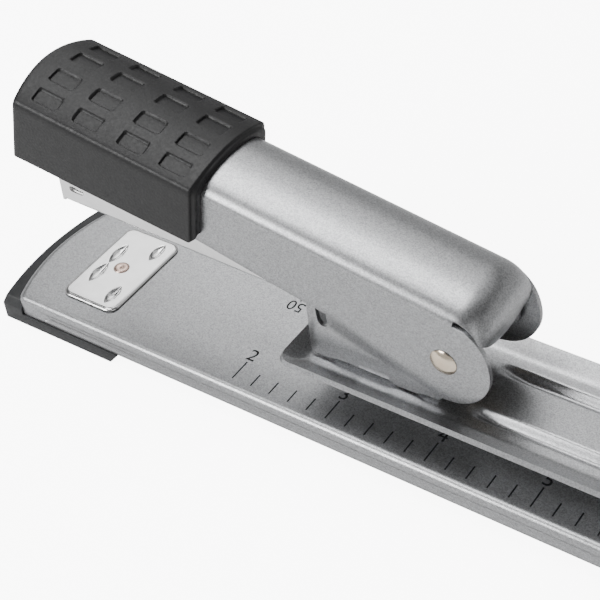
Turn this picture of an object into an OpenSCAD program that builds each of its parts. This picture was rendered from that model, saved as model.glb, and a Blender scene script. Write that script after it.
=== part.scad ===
// Long reach desk stapler: a flat base with a turning anvil, a long sprung arm hinged at the
// rear, and a stapling head that pivots on a bracket near the arm's front end.
// Millimetres. X runs from the staple line to the rear, Y across, Z up. The origin is on the
// resting plane, straight below the staple line.

/* [Base] */
// Width of the base tray
base_w = 40; // [38:0.5:44]
// Height of the tray's top face above the resting plane
base_top = 9.2; // [8.5:0.1:10]
// Height of the tray's skirt
skirt_h = 5.8; // [5:0.1:6]
// Distance from the staple line to the tray's front end
nose_reach = 16.7; // [15:0.1:18]
// Distance from the staple line to the arm's hinge pin, the reach of the stapler
reach = 318; // [250:1:400]
// Radius of the tray's arched ends, in plan
end_radius = 50; // [40:1:80]
// Sheet thickness of the tray, the arm and the brackets
sheet = 1.2; // [1:0.1:1.4]

/* [Feet] */
// How far a foot stands out beyond the end of the tray
foot_ledge = 4.3; // [3:0.1:5]
// How far a foot stands out beyond the side of the tray
foot_over = 0.3; // [0.2:0.1:0.6]
// Radius of the foot's arched end, in plan
foot_radius = 62; // [55:1:80]
// Length of a foot from its arched end to its slanted back
foot_l = 39.2; // [36:0.1:44]
// Height of the foot's end rim above the resting plane
foot_rim = 7.2; // [6:0.1:8]

/* [Anvil] */
// Distance from the staple line to the anvil's pivot
anvil_x = 4.55; // [4.2:0.05:4.8]
// Length of the anvil plate along X
anvil_l = 16.4; // [15:0.1:17]
// Width of the anvil plate
anvil_w = 27.7; // [26:0.1:29]
// Height of the anvil's face above the tray
anvil_proud = 0.8; // [0.7:0.1:1]
// Distance from the anvil's pivot to each row of clinching grooves
anvil_throw = 4.25; // [4:0.05:4.5]

/* [Arm] */
// Distance from the staple line to the arm's front lip
arm_front = 64; // [62:0.5:66]
// Width of the arm across its flared rims
arm_w = 32; // [30:0.5:34]
// Height of the arm's floor above the tray
arm_lift = 9.8; // [9.6:0.1:10.2]
// Height of the flared rim above the arm's floor
rim_h = 2.2; // [1.5:0.1:3]
// Depth of the two stiffening grooves
groove_d = 1.8; // [1:0.1:2]
// Height of the hinge pin above the tray
hinge_lift = 5.4; // [5:0.1:5.6]

/* [Head] */
// Distance from the staple line to the head's pivot rivet
pivot_x = 103.9; // [103:0.1:105]
// Height of the pivot rivet above the tray
pivot_lift = 25.5; // [25:0.1:26]
// Tilt of the magazine at rest, front end up
mag_tilt = 1.6; // [1:0.1:2]
// Tilt of the handle at rest, front end up
handle_tilt = 9; // [8.5:0.1:9.5]
// Radius of the pivot rivet's shank
pivot_r = 2; // [1.8:0.1:2.2]

/* [Magazine] */
// Outer width of the magazine channel
mag_w = 14.5; // [14.4:0.1:14.8]
// Height of the magazine channel
mag_h = 9.6; // [9:0.1:10]
// Wall thickness of the magazine channel
mag_t = 0.75; // [0.6:0.05:0.8]
// Crown width of the staples
staple_w = 12.7; // [12.6:0.1:12.8]
// Length of the staple strip
strip_l = 50; // [26:1:52]

/* [Handle] */
// Outer width of the handle shell
handle_w = 22.4; // [22:0.1:24]
// Height of the shell's side crease above the pivot
crease_v = 11.1; // [10.5:0.1:12]
// Rise of the shell's arched roof above the crease
roof_rise = 4.7; // [4:0.1:5.5]
// Radius of the rounded ears at the pivot
ear_r = 10.8; // [10:0.1:11]
// Wall thickness of the cap beside the shell
cap_t = 2.8; // [2.5:0.1:3]

/* [Hidden] */

$fn = 48;
eps = 0.01;
run_gap = 0.06;
fit_gap = 0.15;

tray_rear = reach + 18;
skirt_z = base_top - skirt_h;
foot_mid = (tray_rear - nose_reach) / 2;
hinge_z = base_top + hinge_lift;
pin_r = 1.6;
ear_out = 14.6;
bracket_ear = 12.2;
floor_z = base_top + arm_lift;
arm_rear = reach + 6;
groove_x = [108, reach - 22];
groove_y = 6.9;
groove_w = 3.4;

rivet_r = 1.5;
bracket_front = 68.5;
bracket_half = 9.2;
bracket_rivet_x = [76, 94];
base_end = 101;
spring_x = 85;
stud_arm = 31.8;
stud_r = 1.15;
stud_up = -0.4;
stud_travel = 9.2;

mag_low = -3.2;
mag_top = mag_low + mag_h;
mag_in = mag_w / 2 - mag_t;
mag_floor = mag_low + mag_t;
mag_front = -105.1;
mag_rear = 5;
rail_front = -103;
rail_rear = -8;
rail_half = 5.7;
rail_top = 3.3;
rail_t = 0.8;
rod_v = 0.9;
rod_r = 0.7;
strip_front = -103.05;
strip_rear = strip_front + strip_l;
staple_t = 0.5;
pusher_l = 12;

half_w = handle_w / 2;
roof_v = crease_v + roof_rise;
shell_front = -110.5;
tongue_r = 7.5;
tongue_u = 0.5;
tongue_v = 5.2;
cap_half = half_w + cap_t;
cap_crease = crease_v + 3.4;
cap_crown = roof_v + 2.1;
cap_front = -114.7;
cap_bow = 2;
cap_lean = 1.9;
cap_rear = -61.2;
cap_low = -2.3;
cap_low_rear = -0.7;
pad_u = [-103.8, -92.4, -80.1, -68.7];
pad_y = [-10, -3.8, 3.8, 10];
blade_u = -103.6;
blade_tip = -9.3;
flange_v = 13;
under_roof = roof_v - sheet - 0.15;
screw_top = roof_v + 0.9;
rivet_top = roof_v - 0.5;
stem_r = 1.2;
cap_screw_u = -86;
driver_rivet_u = -97;
spring_rivet_u = -22;

// ---- frames and helpers ----

// Puts a shape that is drawn about the pivot at the head's pivot, tilted front end up.
module at_pivot(tilt) {
    translate([pivot_x, 0, base_top + pivot_lift])
        rotate([0, tilt, 0])
            children();
}

// Extrudes an outline drawn as (Y, Z) along X.
module along_x(from, to) {
    translate([from, 0, 0])
        rotate([90, 0, 90])
            linear_extrude(to - from)
                children();
}

// Extrudes an outline drawn as (X, Z) along Y.
module along_y(from, to) {
    translate([0, to, 0])
        rotate([90, 0, 0])
            linear_extrude(to - from)
                children();
}

// Repeats a shape on both sides of the middle plane.
module both_sides() {
    children();
    mirror([0, 1, 0]) children();
}

// A pin or a bore lying along Y.
module y_pin(x, z, r, half_l) {
    translate([x, 0, z])
        rotate([90, 0, 0])
            cylinder(r = r, h = 2 * half_l, center = true);
}

// Plan of the tray and the feet: straight sides with arched ends and softened corners.
module end_arc_plan(front, rear, width, radius = end_radius, corner = 2.5) {
    offset(r = corner) offset(delta = -corner)
        intersection() {
            translate([front, -width / 2]) square([rear - front, width]);
            union() {
                translate([front + radius, 0]) circle(r = radius, $fn = 180);
                translate([rear - radius, 0]) circle(r = radius, $fn = 180);
                translate([front + radius, -width / 2])
                    square([rear - front - 2 * radius, width]);
            }
        }
}

// A rivet along Z with a domed head above and a flat tail below.
module rivet(r, head_r, head_h, grip, tail_h = 0.7) {
    dome_r = (head_r * head_r + head_h * head_h) / (2 * head_h);
    rotate_extrude()
        union() {
            translate([0, -grip - eps]) square([r, grip + 2 * eps]);
            translate([0, -grip - tail_h]) square([r * 1.5, tail_h]);
            intersection() {
                translate([0, head_h - dome_r]) circle(r = dome_r, $fn = 96);
                square([head_r, head_h]);
            }
        }
}

// Outer shape of a coil spring along Z: one rib per turn on a thin sleeve.
module coil(length, coil_r, wire_r, turns) {
    pitch = (length - 2 * wire_r) / turns;
    rotate_extrude($fn = 32) {
        translate([coil_r - wire_r / 3, 0]) square([2 * wire_r / 3, length]);
        for (i = [0:turns])
            translate([coil_r, wire_r + i * pitch]) circle(r = wire_r, $fn = 8);
    }
}

// A sheet's cut outline from its upper surface line and its thickness.
module sheet_section(points, t) {
    last = len(points) - 1;
    lower = [for (i = [last:-1:0]) [points[i][0], points[i][1] - t]];
    polygon(concat(points, lower));
}

// A closed arch: an elliptical roof on straight walls that go down to foot_v.
module arch_section(half, rise, spring_v, foot_v, steps = 36) {
    roof = [for (i = [0:steps]) [half * cos(180 * i / steps), spring_v + rise * sin(180 * i / steps)]];
    polygon(concat(roof, [[-half, foot_v], [half, foot_v]]));
}

// ---- base ----

module base_plate() {
    color("silver")
        difference() {
            translate([0, 0, skirt_z])
                linear_extrude(skirt_h) end_arc_plan(-nose_reach, tray_rear, base_w);
            translate([0, 0, skirt_z - eps])
                linear_extrude(skirt_h - sheet + eps)
                    end_arc_plan(sheet - nose_reach, tray_rear - sheet, base_w - 2 * sheet);
            translate([anvil_x, 0, 0]) cylinder(r = rivet_r + run_gap, h = 2 * base_top);
            hinge_rivet_places() cylinder(r = rivet_r, h = 2 * base_top);
        }
}

// A foot: a shallow plastic tray with a slanted back, and a rim round the outside of the end.
module foot_at_front() {
    front = -nose_reach - foot_ledge;
    back = front + foot_l;
    back_slant = 2.9;
    half = base_w / 2 + foot_over;
    rim_end = 2.6 - nose_reach;
    difference() {
        intersection() {
            linear_extrude(foot_rim)
                end_arc_plan(front, tray_rear, 2 * half, foot_radius, 0.8);
            along_y(-half, half)
                polygon([[front, 0], [back - back_slant, 0], [back, skirt_z], [back, foot_rim],
                    [front, foot_rim]]);
        }
        translate([0, 0, skirt_z])
            linear_extrude(foot_rim) {
                end_arc_plan(-nose_reach - fit_gap, tray_rear, base_w + 2 * fit_gap);
                translate([rim_end, -base_w]) square([foot_l, 2 * base_w]);
            }
        translate([sheet + 1 - nose_reach, 3 - base_w / 2, 1.8])
            cube([foot_l - foot_ledge - back_slant - 6, base_w - 6, foot_rim]);
        translate([front + foot_radius, 0, 0]) foot_chamfer();
    }
}

// The ring that is cut away to slope the foot's outer top edge.
module foot_chamfer() {
    chamfer_w = 1.1;
    chamfer_h = 2.2;
    rotate_extrude($fn = 180)
        polygon([[foot_radius - chamfer_w, foot_rim + eps], [foot_radius + 1, foot_rim + eps],
            [foot_radius + 1, foot_rim - chamfer_h], [foot_radius, foot_rim - chamfer_h]]);
}

module front_foot() {
    color("dimgray") foot_at_front();
}

module rear_foot() {
    color("dimgray")
        translate([2 * foot_mid, 0, 0]) mirror([1, 0, 0]) foot_at_front();
}

module hinge_rivet_places() {
    for (x = [reach - 13, reach + 9], y = [-7, 7])
        translate([x, y, 0]) children();
}

// A low U that is riveted to the tray and carries the hinge pin between its ears.
module hinge_bracket() {
    color("silver")
        difference() {
            union() {
                translate([reach - 18, -bracket_ear, base_top])
                    cube([32, 2 * bracket_ear, sheet]);
                both_sides() along_y(bracket_ear - sheet, bracket_ear) {
                    translate([reach, hinge_z]) circle(r = 3);
                    translate([reach - 6, base_top]) square([12, 4]);
                    translate([reach - 3, base_top]) square([6, hinge_lift]);
                }
            }
            y_pin(reach, hinge_z, pin_r, base_w);
            hinge_rivet_places() cylinder(r = rivet_r, h = 2 * base_top);
        }
}

module hinge_rivets() {
    color("gainsboro")
        hinge_rivet_places()
            translate([0, 0, base_top + sheet]) rivet(rivet_r, 2.6, 1, 2 * sheet);
}

module arm_hinge_pin() {
    color("gainsboro") {
        y_pin(reach, hinge_z, pin_r, ear_out + 0.4);
        both_sides()
            translate([reach, ear_out + 0.3, hinge_z])
                rotate([-90, 0, 0]) cylinder(r = 2.6, h = 1);
    }
}

// Torsion spring round the hinge pin; one leg rests on the bracket, one lifts the arm.
module arm_spring() {
    wire_r = 0.4;
    coil_r = 2.2;
    body_l = 12;
    color("gray")
        translate([reach, 0, hinge_z]) {
            translate([0, -body_l / 2, 0])
                rotate([-90, 0, 0]) coil(body_l, coil_r, wire_r, 12);
            translate([0, -body_l / 2, 0]) spring_leg(coil_r, 2 * wire_r, 14);
            translate([0, body_l / 2, 0]) rotate([0, -8, 0]) spring_leg(-coil_r, 2 * wire_r, 8);
        }
}

// The last turn of the torsion spring with its straight leg, pointing to the arm's front.
module spring_leg(height, wire, length) {
    rotate([90, 0, 0])
        difference() {
            cylinder(r = abs(height) + wire / 2, h = wire, center = true);
            cylinder(r = abs(height) - wire / 2, h = 2 * wire, center = true);
        }
    translate([-length, -wire / 2, height - wire / 2]) cube([length, wire, wire]);
}

// ---- anvil ----

// Plate with sloped borders, an inward pair and an outward pair of clinching grooves.
module anvil_plate() {
    thickness = anvil_proud - 0.05;
    border = 0.85;
    color("lightgray")
        translate([anvil_x, 0, base_top + 0.05])
            difference() {
                hull() {
                    linear_extrude(thickness / 3) anvil_plan(0);
                    linear_extrude(thickness) anvil_plan(border);
                }
                for (row = [[-anvil_throw, 3.9, 3.8], [anvil_throw, 8.8, 3.4]], side = [-1, 1])
                    translate([row[0], side * row[1], thickness]) clinch_groove(row[2]);
                translate([0, 0, -eps]) cylinder(r = rivet_r, h = 2);
            }
}

// Plan of the anvil, moved inward by inset.
module anvil_plan(inset) {
    corner = 2.6 - inset;
    offset(r = corner) offset(delta = -corner)
        square([anvil_l - 2 * inset, anvil_w - 2 * inset], center = true);
}

module clinch_groove(half_l) {
    depth = 0.5;
    groove_r = (half_l * half_l + depth * depth) / (2 * depth);
    intersection() {
        translate([0, 0, groove_r - depth])
            rotate([0, 90, 0]) cylinder(r = groove_r, h = 2.4, center = true, $fn = 96);
        cube([2.4, 2 * half_l + 1, 4], center = true);
    }
}

module anvil_rivet() {
    color("rosybrown")
        translate([anvil_x, 0, base_top + anvil_proud])
            rivet(rivet_r, 2.1, 0.4, anvil_proud + sheet + 1.2);
}

// Dished spring washer that pulls the anvil down on the tray.
module anvil_spring() {
    washer_h = 0.9;
    color("gray")
        translate([anvil_x, 0, base_top - sheet - 1.1])
            rotate_extrude()
                polygon([[rivet_r, 0], [5.5, washer_h - 0.4], [5.5, washer_h], [rivet_r, 0.4]]);
}

// ---- arm ----

// Upper surface line of half the arm's cross-section, from the middle out to the rim.
function arm_half_line(with_groove) = concat(
    with_groove ? [
        [groove_y - groove_w / 2, 0],
        [groove_y - groove_w / 5, -groove_d],
        [groove_y + groove_w / 5, -groove_d],
        [groove_y + groove_w / 2, 0]] : [],
    [[arm_w / 2 - 4, 0], [arm_w / 2 - 1.2, rim_h - 0.2], [arm_w / 2, rim_h]]);

module arm_strip(from, to, with_groove) {
    right = arm_half_line(with_groove);
    last = len(right) - 1;
    left = [for (i = [last:-1:0]) [-right[i][0], right[i][1]]];
    along_x(from, to) translate([0, floor_z]) sheet_section(concat(left, right), sheet);
}

// Sloping front lip, as wide as the flat floor and closed by the side rims.
module arm_lip() {
    along_y(-arm_w / 2 + eps, arm_w / 2 - eps)
        translate([0, floor_z])
            sheet_section([[arm_front, rim_h], [arm_front + 1.2, rim_h - 0.2], [arm_front + 4, 0],
                [arm_front + 4.5, 0]], sheet);
}

// Ears turned down from the rear of the arm onto the hinge pin.
module arm_ears() {
    both_sides() along_y(ear_out - sheet, ear_out) {
        translate([reach, hinge_z]) circle(r = 4);
        translate([reach - 12, floor_z - 2.6]) square([arm_rear - reach + 12, 2.6]);
        translate([reach - 4, hinge_z]) square([8, floor_z - hinge_z]);
    }
}

module arm() {
    color("silver")
        difference() {
            intersection() {
                union() {
                    arm_strip(arm_front + 4, groove_x[0], false);
                    arm_strip(groove_x[0], groove_x[1], true);
                    arm_strip(groove_x[1], arm_rear, false);
                    intersection() {
                        arm_strip(arm_front, arm_front + 4 + eps, false);
                        translate([arm_front, -arm_w / 2, floor_z])
                            cube([4 + 2 * eps, arm_w, rim_h]);
                    }
                    arm_lip();
                    arm_ears();
                }
                translate([0, 0, base_top])
                    linear_extrude(2 * arm_lift)
                        offset(r = 2.5) offset(delta = -2.5)
                            translate([arm_front, -arm_w / 2])
                                square([arm_rear - arm_front, arm_w]);
            }
            y_pin(reach, hinge_z, pin_r + run_gap, base_w);
            for (x = bracket_rivet_x) translate([x, 0, 0]) cylinder(r = rivet_r, h = 2 * floor_z);
        }
}

// ---- head bracket on the arm ----

// Side wall outline of the head bracket, drawn as (X, Z).
module bracket_side() {
    hull() {
        translate([bracket_front, floor_z]) square([7.5, 20]);
        translate([pivot_x, base_top + pivot_lift]) circle(r = 6.8);
        translate([base_end - 1, floor_z]) square([1, 1]);
    }
}

// Slot that lets the stop studs swing down about the pivot.
module stud_slot() {
    slot_r = stud_r + fit_gap;
    start = mag_tilt + atan2(stud_up, stud_arm);
    translate([pivot_x, base_top + pivot_lift]) {
        for (a = [start, start - stud_travel])
            rotate(-a) translate([-stud_arm, 0]) circle(r = slot_r);
        rotate(-start + stud_travel / 2)
            translate([-stud_arm - slot_r, -stud_arm * sin(stud_travel / 2)])
                square([2 * slot_r, 2 * stud_arm * sin(stud_travel / 2)]);
    }
}

module head_bracket() {
    notch = [80.7, 88.8];
    color("silver")
        difference() {
            union() {
                translate([bracket_front + 1, -bracket_half, floor_z])
                    cube([base_end - bracket_front - 1, 2 * bracket_half, sheet]);
                both_sides() along_y(bracket_half - sheet, bracket_half)
                    difference() {
                        bracket_side();
                        stud_slot();
                        translate([notch[0], floor_z + sheet])
                            square([notch[1] - notch[0], 1.7]);
                    }
            }
            y_pin(pivot_x, base_top + pivot_lift, pivot_r + run_gap, base_w);
            for (x = bracket_rivet_x) translate([x, 0, 0]) cylinder(r = rivet_r, h = 2 * floor_z);
        }
}

module bracket_rivets() {
    color("gainsboro")
        for (x = bracket_rivet_x)
            translate([x, 0, floor_z + sheet]) rivet(rivet_r, 2.6, 1, 2 * sheet);
}

module pivot_rivet() {
    shank = half_w + 0.2;
    color("burlywood")
        translate([pivot_x, 0, base_top + pivot_lift]) {
            rotate([90, 0, 0]) cylinder(r = pivot_r, h = 2 * shank, center = true);
            both_sides() translate([0, half_w + 0.1, 0]) rotate([-90, 0, 0]) rivet_dome(3.2, 1.1);
        }
}

module rivet_dome(head_r, head_h) {
    dome_r = (head_r * head_r + head_h * head_h) / (2 * head_h);
    rotate_extrude()
        intersection() {
            translate([0, head_h - dome_r]) circle(r = dome_r, $fn = 96);
            square([head_r, head_h]);
        }
}

// Spacers that centre the magazine between the bracket's walls.
module pivot_washers() {
    gap = bracket_half - sheet - mag_w / 2;
    color("gainsboro")
        both_sides()
            translate([pivot_x, mag_w / 2 + 0.1, base_top + pivot_lift])
                rotate([-90, 0, 0])
                    difference() {
                        cylinder(r = 4.2, h = gap - 0.2);
                        translate([0, 0, -1]) cylinder(r = pivot_r, h = gap + 2);
                    }
}

// Compression spring that holds the magazine up from the bracket's floor.
module magazine_spring() {
    low = floor_z + sheet;
    high = base_top + pivot_lift + (pivot_x - spring_x) * tan(mag_tilt) + mag_low;
    color("gray")
        translate([spring_x, 0, low]) coil(high - low - 0.1, 3.2, 0.4, 6);
}

// ---- magazine ----

// Open-topped channel with a front wall, and a gap in the floor for the staple to leave by.
module magazine() {
    gap_end = rail_front + 0.1;
    color("whitesmoke")
        at_pivot(mag_tilt)
            difference() {
                along_y(-mag_w / 2, mag_w / 2) {
                    translate([mag_front, mag_low]) square([-mag_front, mag_h]);
                    translate([0, mag_low + 3.2]) square([mag_rear - 1.5, mag_h - 3.2]);
                    translate([0, 0]) circle(r = 5.4);
                }
                translate([mag_front + mag_t, -mag_in, mag_floor])
                    cube([mag_rear - mag_front + 10, 2 * mag_in, mag_h + 5]);
                translate([mag_front + mag_t, -mag_in, mag_low - 1])
                    cube([gap_end - mag_front - mag_t, 2 * mag_in, 5]);
                translate([0, -mag_in, mag_low - 4]) cube([10, 2 * mag_in, 10]);
                y_pin(0, 0, pivot_r + run_gap, base_w);
                y_pin(-stud_arm, stud_up, stud_r, base_w);
                nose_window();
                rail_rivet_places() translate([0, 0, -5]) cylinder(r = 1, h = 10);
            }
}

// Long window in both side walls, beside the first staples.
module nose_window() {
    for (u = [-102.3, -99.6]) y_pin(u, 1.3, 0.8, base_w);
    translate([-102.3, -base_w, 0.5]) cube([2.7, 2 * base_w, 1.6]);
}

module rail_rivet_places() {
    for (u = [-85, -35]) translate([u, 0, mag_low]) children();
}

// Inverted channel that the staples straddle, slotted along the top for the pusher's tab.
module staple_rail() {
    rail_low = mag_floor;
    color("lightgray")
        at_pivot(mag_tilt)
            difference() {
                union() {
                    translate([rail_front, -rail_half, rail_low])
                        cube([rail_rear - rail_front, 2 * rail_half, rail_top - rail_low]);
                }
                translate([rail_front + rail_t, -rail_half + rail_t, rail_low + rail_t])
                    cube([rail_rear - rail_front - 2 * rail_t, 2 * (rail_half - rail_t),
                        rail_top - rail_low - 2 * rail_t]);
                translate([-80, -1.2, rod_v + 1.6]) cube([68, 2.4, 5]);
                translate([0, 0, rod_v]) rotate([0, -90, 0]) cylinder(r = rod_r, h = 120);
                rail_rivet_places() translate([0, 0, -5]) cylinder(r = 1, h = 8);
            }
}

module rail_rivets() {
    color("gainsboro")
        at_pivot(mag_tilt)
            rail_rivet_places() {
                translate([0, 0, -0.5]) cylinder(r = 1.8, h = 0.5);
                cylinder(r = 1, h = mag_t + rail_t);
                translate([0, 0, mag_t + rail_t]) cylinder(r = 1.5, h = 0.4);
            }
}

// Studs on the magazine's walls that run in the bracket's slots and stop the travel.
module stop_studs() {
    color("gainsboro")
        at_pivot(mag_tilt)
            both_sides()
                translate([-stud_arm, mag_in - 0.2, stud_up])
                    rotate([-90, 0, 0]) {
                        cylinder(r = stud_r, h = bracket_half - mag_in + 0.6);
                        cylinder(r = stud_r + 0.5, h = 0.2);
                    }
}

module pusher_rod() {
    color("gainsboro")
        at_pivot(mag_tilt)
            translate([rail_rear + 1, 0, rod_v]) {
                rotate([0, -90, 0]) cylinder(r = rod_r, h = rail_rear + 1 - rail_front);
                translate([0, 0, 0]) sphere(r = 1.2, $fn = 32);
            }
}

module staple_strip() {
    leg_low = mag_floor + 0.25;
    gap = 0.1;
    top = rail_top + gap + staple_t;
    color("darkgray")
        at_pivot(mag_tilt)
            difference() {
                translate([strip_front, -staple_w / 2, leg_low])
                    cube([strip_l, staple_w, top - leg_low]);
                translate([strip_front - 1, staple_t - staple_w / 2, leg_low - 1])
                    cube([strip_l + 2, staple_w - 2 * staple_t, rail_top + gap + 1 - leg_low]);
            }
}

// ---- pusher ----

// Saddle that rides over the rail behind the staples, with a tab down to the guide rod.
module pusher() {
    outer = 6.2;
    inner = rail_half + fit_gap;
    low = -1.6;
    top = rail_top + 1.9;
    color("dimgray")
        at_pivot(mag_tilt)
            translate([strip_rear + 0.05, 0, 0])
                difference() {
                    union() {
                        difference() {
                            translate([0, -outer, low]) cube([pusher_l, 2 * outer, top - low]);
                            translate([-1, -inner, low - 1])
                                cube([pusher_l + 2, 2 * inner, rail_top + fit_gap + 1 - low]);
                        }
                        translate([4, -1, rod_v - 1.3]) cube([4, 2, top - rod_v]);
                    }
                    translate([-1, 0, rod_v])
                        rotate([0, 90, 0]) cylinder(r = rod_r + run_gap, h = pusher_l + 2);
                }
}

// Compression spring on the guide rod, between the pusher's tab and the rail's rear wall.
module pusher_spring() {
    from = strip_rear + 8.2;
    to = rail_rear - rail_t - 0.1;
    color("gray")
        at_pivot(mag_tilt)
            translate([from, 0, rod_v]) rotate([0, 90, 0]) coil(to - from, 1.15, 0.22, 24);
}

// ---- handle ----

// Side outline of the shell's roof and tongue, drawn as (u, v) about the pivot.
module roof_side(inset) {
    front = shell_front - (inset > 0 ? 5 : 0);
    low = inset > 0 ? -20 : tongue_v;
    r = tongue_r - inset;
    polygon([[front, roof_v - inset], [tongue_u, roof_v - inset], [tongue_u, low],
        [-3.7, -9.6 - inset], [-27, -4.2 - 5 * inset], [-62.6, -2 - 5 * inset],
        [front, -1 - 5 * inset]]);
    translate([tongue_u, low]) square([r, roof_v - tongue_r - low]);
    intersection() {
        translate([tongue_u, roof_v - tongue_r]) circle(r = r, $fn = 96);
        translate([tongue_u - eps, roof_v - tongue_r - eps]) square(2 * tongue_r);
    }
}

// Side wall outline of the shell with the rounded ear at the pivot.
module ear_side() {
    circle(r = ear_r, $fn = 96);
    translate([0.5, 1.2]) circle(r = ear_r - 0.2, $fn = 96);
    polygon([[shell_front, crease_v], [2, crease_v], [2, -ear_r + 0.2], [-3.7, -9.9],
        [-27, -4.2], [-62.6, -2], [shell_front, -1]]);
}

module handle_shell() {
    wall = sheet;
    slit = 0.6;
    color("silver")
        at_pivot(handle_tilt)
            difference() {
                union() {
                    difference() {
                        intersection() {
                            along_x(shell_front, 20)
                                arch_section(half_w, roof_rise, crease_v, -20);
                            along_y(-half_w, half_w) roof_side(0);
                        }
                        intersection() {
                            along_x(shell_front - 5, 20)
                                arch_section(half_w - wall, roof_rise - wall, crease_v, -30);
                            along_y(-half_w, half_w) roof_side(wall);
                        }
                    }
                    both_sides() along_y(half_w - wall, half_w) ear_side();
                }
                both_sides()
                    translate([3.4, half_w - wall - slit, -20]) cube([20, slit, crease_v + 20.5]);
                y_pin(0, 0, pivot_r + run_gap, base_w);
                translate([cap_screw_u, 0, 0]) cylinder(r = stem_r, h = 20);
                for (u = [driver_rivet_u, spring_rivet_u])
                    translate([u, 0, 0]) cylinder(r = stem_r, h = rivet_top + 0.05);
            }
}

// Moulded cap over the front of the shell, closed in front, with a field of thumb pads.
module handle_cap() {
    color([0.12, 0.12, 0.13])
        at_pivot(handle_tilt)
            difference() {
                intersection() {
                    along_x(cap_front, cap_rear) cap_section();
                    along_y(-cap_half, cap_half) cap_side();
                    cap_front_round();
                }
                along_x(shell_front - 0.1, cap_rear + 1)
                    arch_section(half_w + 0.1, roof_rise + 0.1, crease_v + 0.05, -20);
                translate([cap_screw_u, 0, 0]) cylinder(r = stem_r, h = screw_top);
                for (u = pad_u, y = pad_y) thumb_pad(u, y);
            }
}

// Height of the cap's arched top at a distance from the middle plane.
function cap_top(y) = cap_crease + (cap_crown - cap_crease) * (1 - pow(y / cap_half, 2));

module cap_section() {
    roof = [for (i = [16:-1:-16]) let (y = cap_half * i / 16) [y, cap_top(y)]];
    polygon(concat(roof, [[-cap_half, cap_low - 1], [cap_half, cap_low - 1]]));
}

module cap_side() {
    round_r = 2;
    polygon([[cap_front, cap_low], [cap_rear - round_r, cap_low_rear],
        [cap_rear, cap_low_rear + round_r], [cap_rear, cap_crown], [cap_front, cap_crown]]);
    translate([cap_rear - round_r, cap_low_rear + round_r]) circle(r = round_r);
}

// The leaning, bowed front of the cap: the front of a large sheared cylinder.
module cap_front_round() {
    bow_r = cap_half * cap_half / (2 * cap_bow);
    lean = cap_lean / (cap_crown - cap_low);
    translate([cap_front + bow_r, 0, cap_low])
        multmatrix([[1, 0, lean, 0], [0, 1, 0, 0], [0, 0, 1, 0], [0, 0, 0, 1]])
            cylinder(r = bow_r, h = 2 * cap_crown, $fn = 144);
}

// A shallow rectangular recess that lies square to the arched top.
module thumb_pad(u, y) {
    depth = 0.6;
    slope = atan(2 * (cap_crown - cap_crease) * y / (cap_half * cap_half));
    translate([u, y, cap_top(y)])
        rotate([-slope, 0, 0])
            cube([7.2, 3.8, 2 * depth], center = true);
}

// Screw that holds the cap, driven up through the shell's roof from inside.
module cap_screw() {
    color("gainsboro")
        at_pivot(handle_tilt)
            translate([cap_screw_u, 0, 0]) {
                translate([0, 0, under_roof - 0.8]) cylinder(r = 2.4, h = 0.8);
                translate([0, 0, under_roof - eps]) cylinder(r = stem_r, h = screw_top - under_roof);
            }
}

// Blade that drives the staple, hung from a flange under the shell's roof.
module driver_blade() {
    half = 6.2;
    thick = 0.5;
    color("gainsboro")
        at_pivot(handle_tilt) {
            translate([blade_u - thick / 2, -half, blade_tip])
                cube([thick, 2 * half, flange_v - blade_tip]);
            difference() {
                translate([blade_u - thick / 2, -half, flange_v - thick])
                    cube([12, 2 * half, thick]);
                translate([driver_rivet_u, 0, 0]) cylinder(r = stem_r, h = 20);
            }
        }
}

// Rivet that hangs a flange or a leaf from the shell's roof, with a spacer between.
module roof_rivet(u) {
    color("gainsboro")
        at_pivot(handle_tilt)
            translate([u, 0, 0]) {
                translate([0, 0, flange_v - 1.1]) cylinder(r = 2.2, h = 0.6);
                translate([0, 0, flange_v - 0.5 - eps])
                    cylinder(r = stem_r, h = rivet_top - flange_v + 0.5);
                translate([0, 0, flange_v]) cylinder(r = 2.2, h = under_roof - flange_v);
            }
}

module driver_rivet() {
    roof_rivet(driver_rivet_u);
}

// Leaf spring under the roof; its free end presses on the magazine's walls.
module handle_spring() {
    leaf = 0.5;
    color("gray")
        at_pivot(handle_tilt)
            difference() {
                along_y(-7, 7)
                    sheet_section([[-16, flange_v], [-28, flange_v], [-34, flange_v - 1.2],
                        [-62, -0.6], [-65, -0.9]], leaf);
                translate([spring_rivet_u, 0, 0]) cylinder(r = stem_r, h = 20);
                both_sides() translate([-30, 6.2, flange_v - 1]) cube([20, 5, 5]);
            }
}

module spring_rivet() {
    roof_rivet(spring_rivet_u);
}

base_plate();
front_foot();
rear_foot();
hinge_bracket();
hinge_rivets();
arm_hinge_pin();
arm_spring();
anvil_plate();
anvil_rivet();
anvil_spring();
arm();
head_bracket();
bracket_rivets();
pivot_rivet();
pivot_washers();
magazine_spring();
magazine();
staple_rail();
rail_rivets();
stop_studs();
pusher_rod();
staple_strip();
pusher();
pusher_spring();
handle_shell();
handle_cap();
cap_screw();
driver_blade();
driver_rivet();
handle_spring();
spring_rivet();
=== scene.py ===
"""Looks of the long reach stapler: detailed pieces, materials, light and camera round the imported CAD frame.

Shapes are written in millimetres and turned into metres when a mesh is made. X runs from the staple line to
the rear, Y across, Z up from the resting plane. Head pieces are drawn about the pivot: u along, v up.
"""

import math

import bmesh
import bpy
from mathutils import Matrix, Vector


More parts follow.
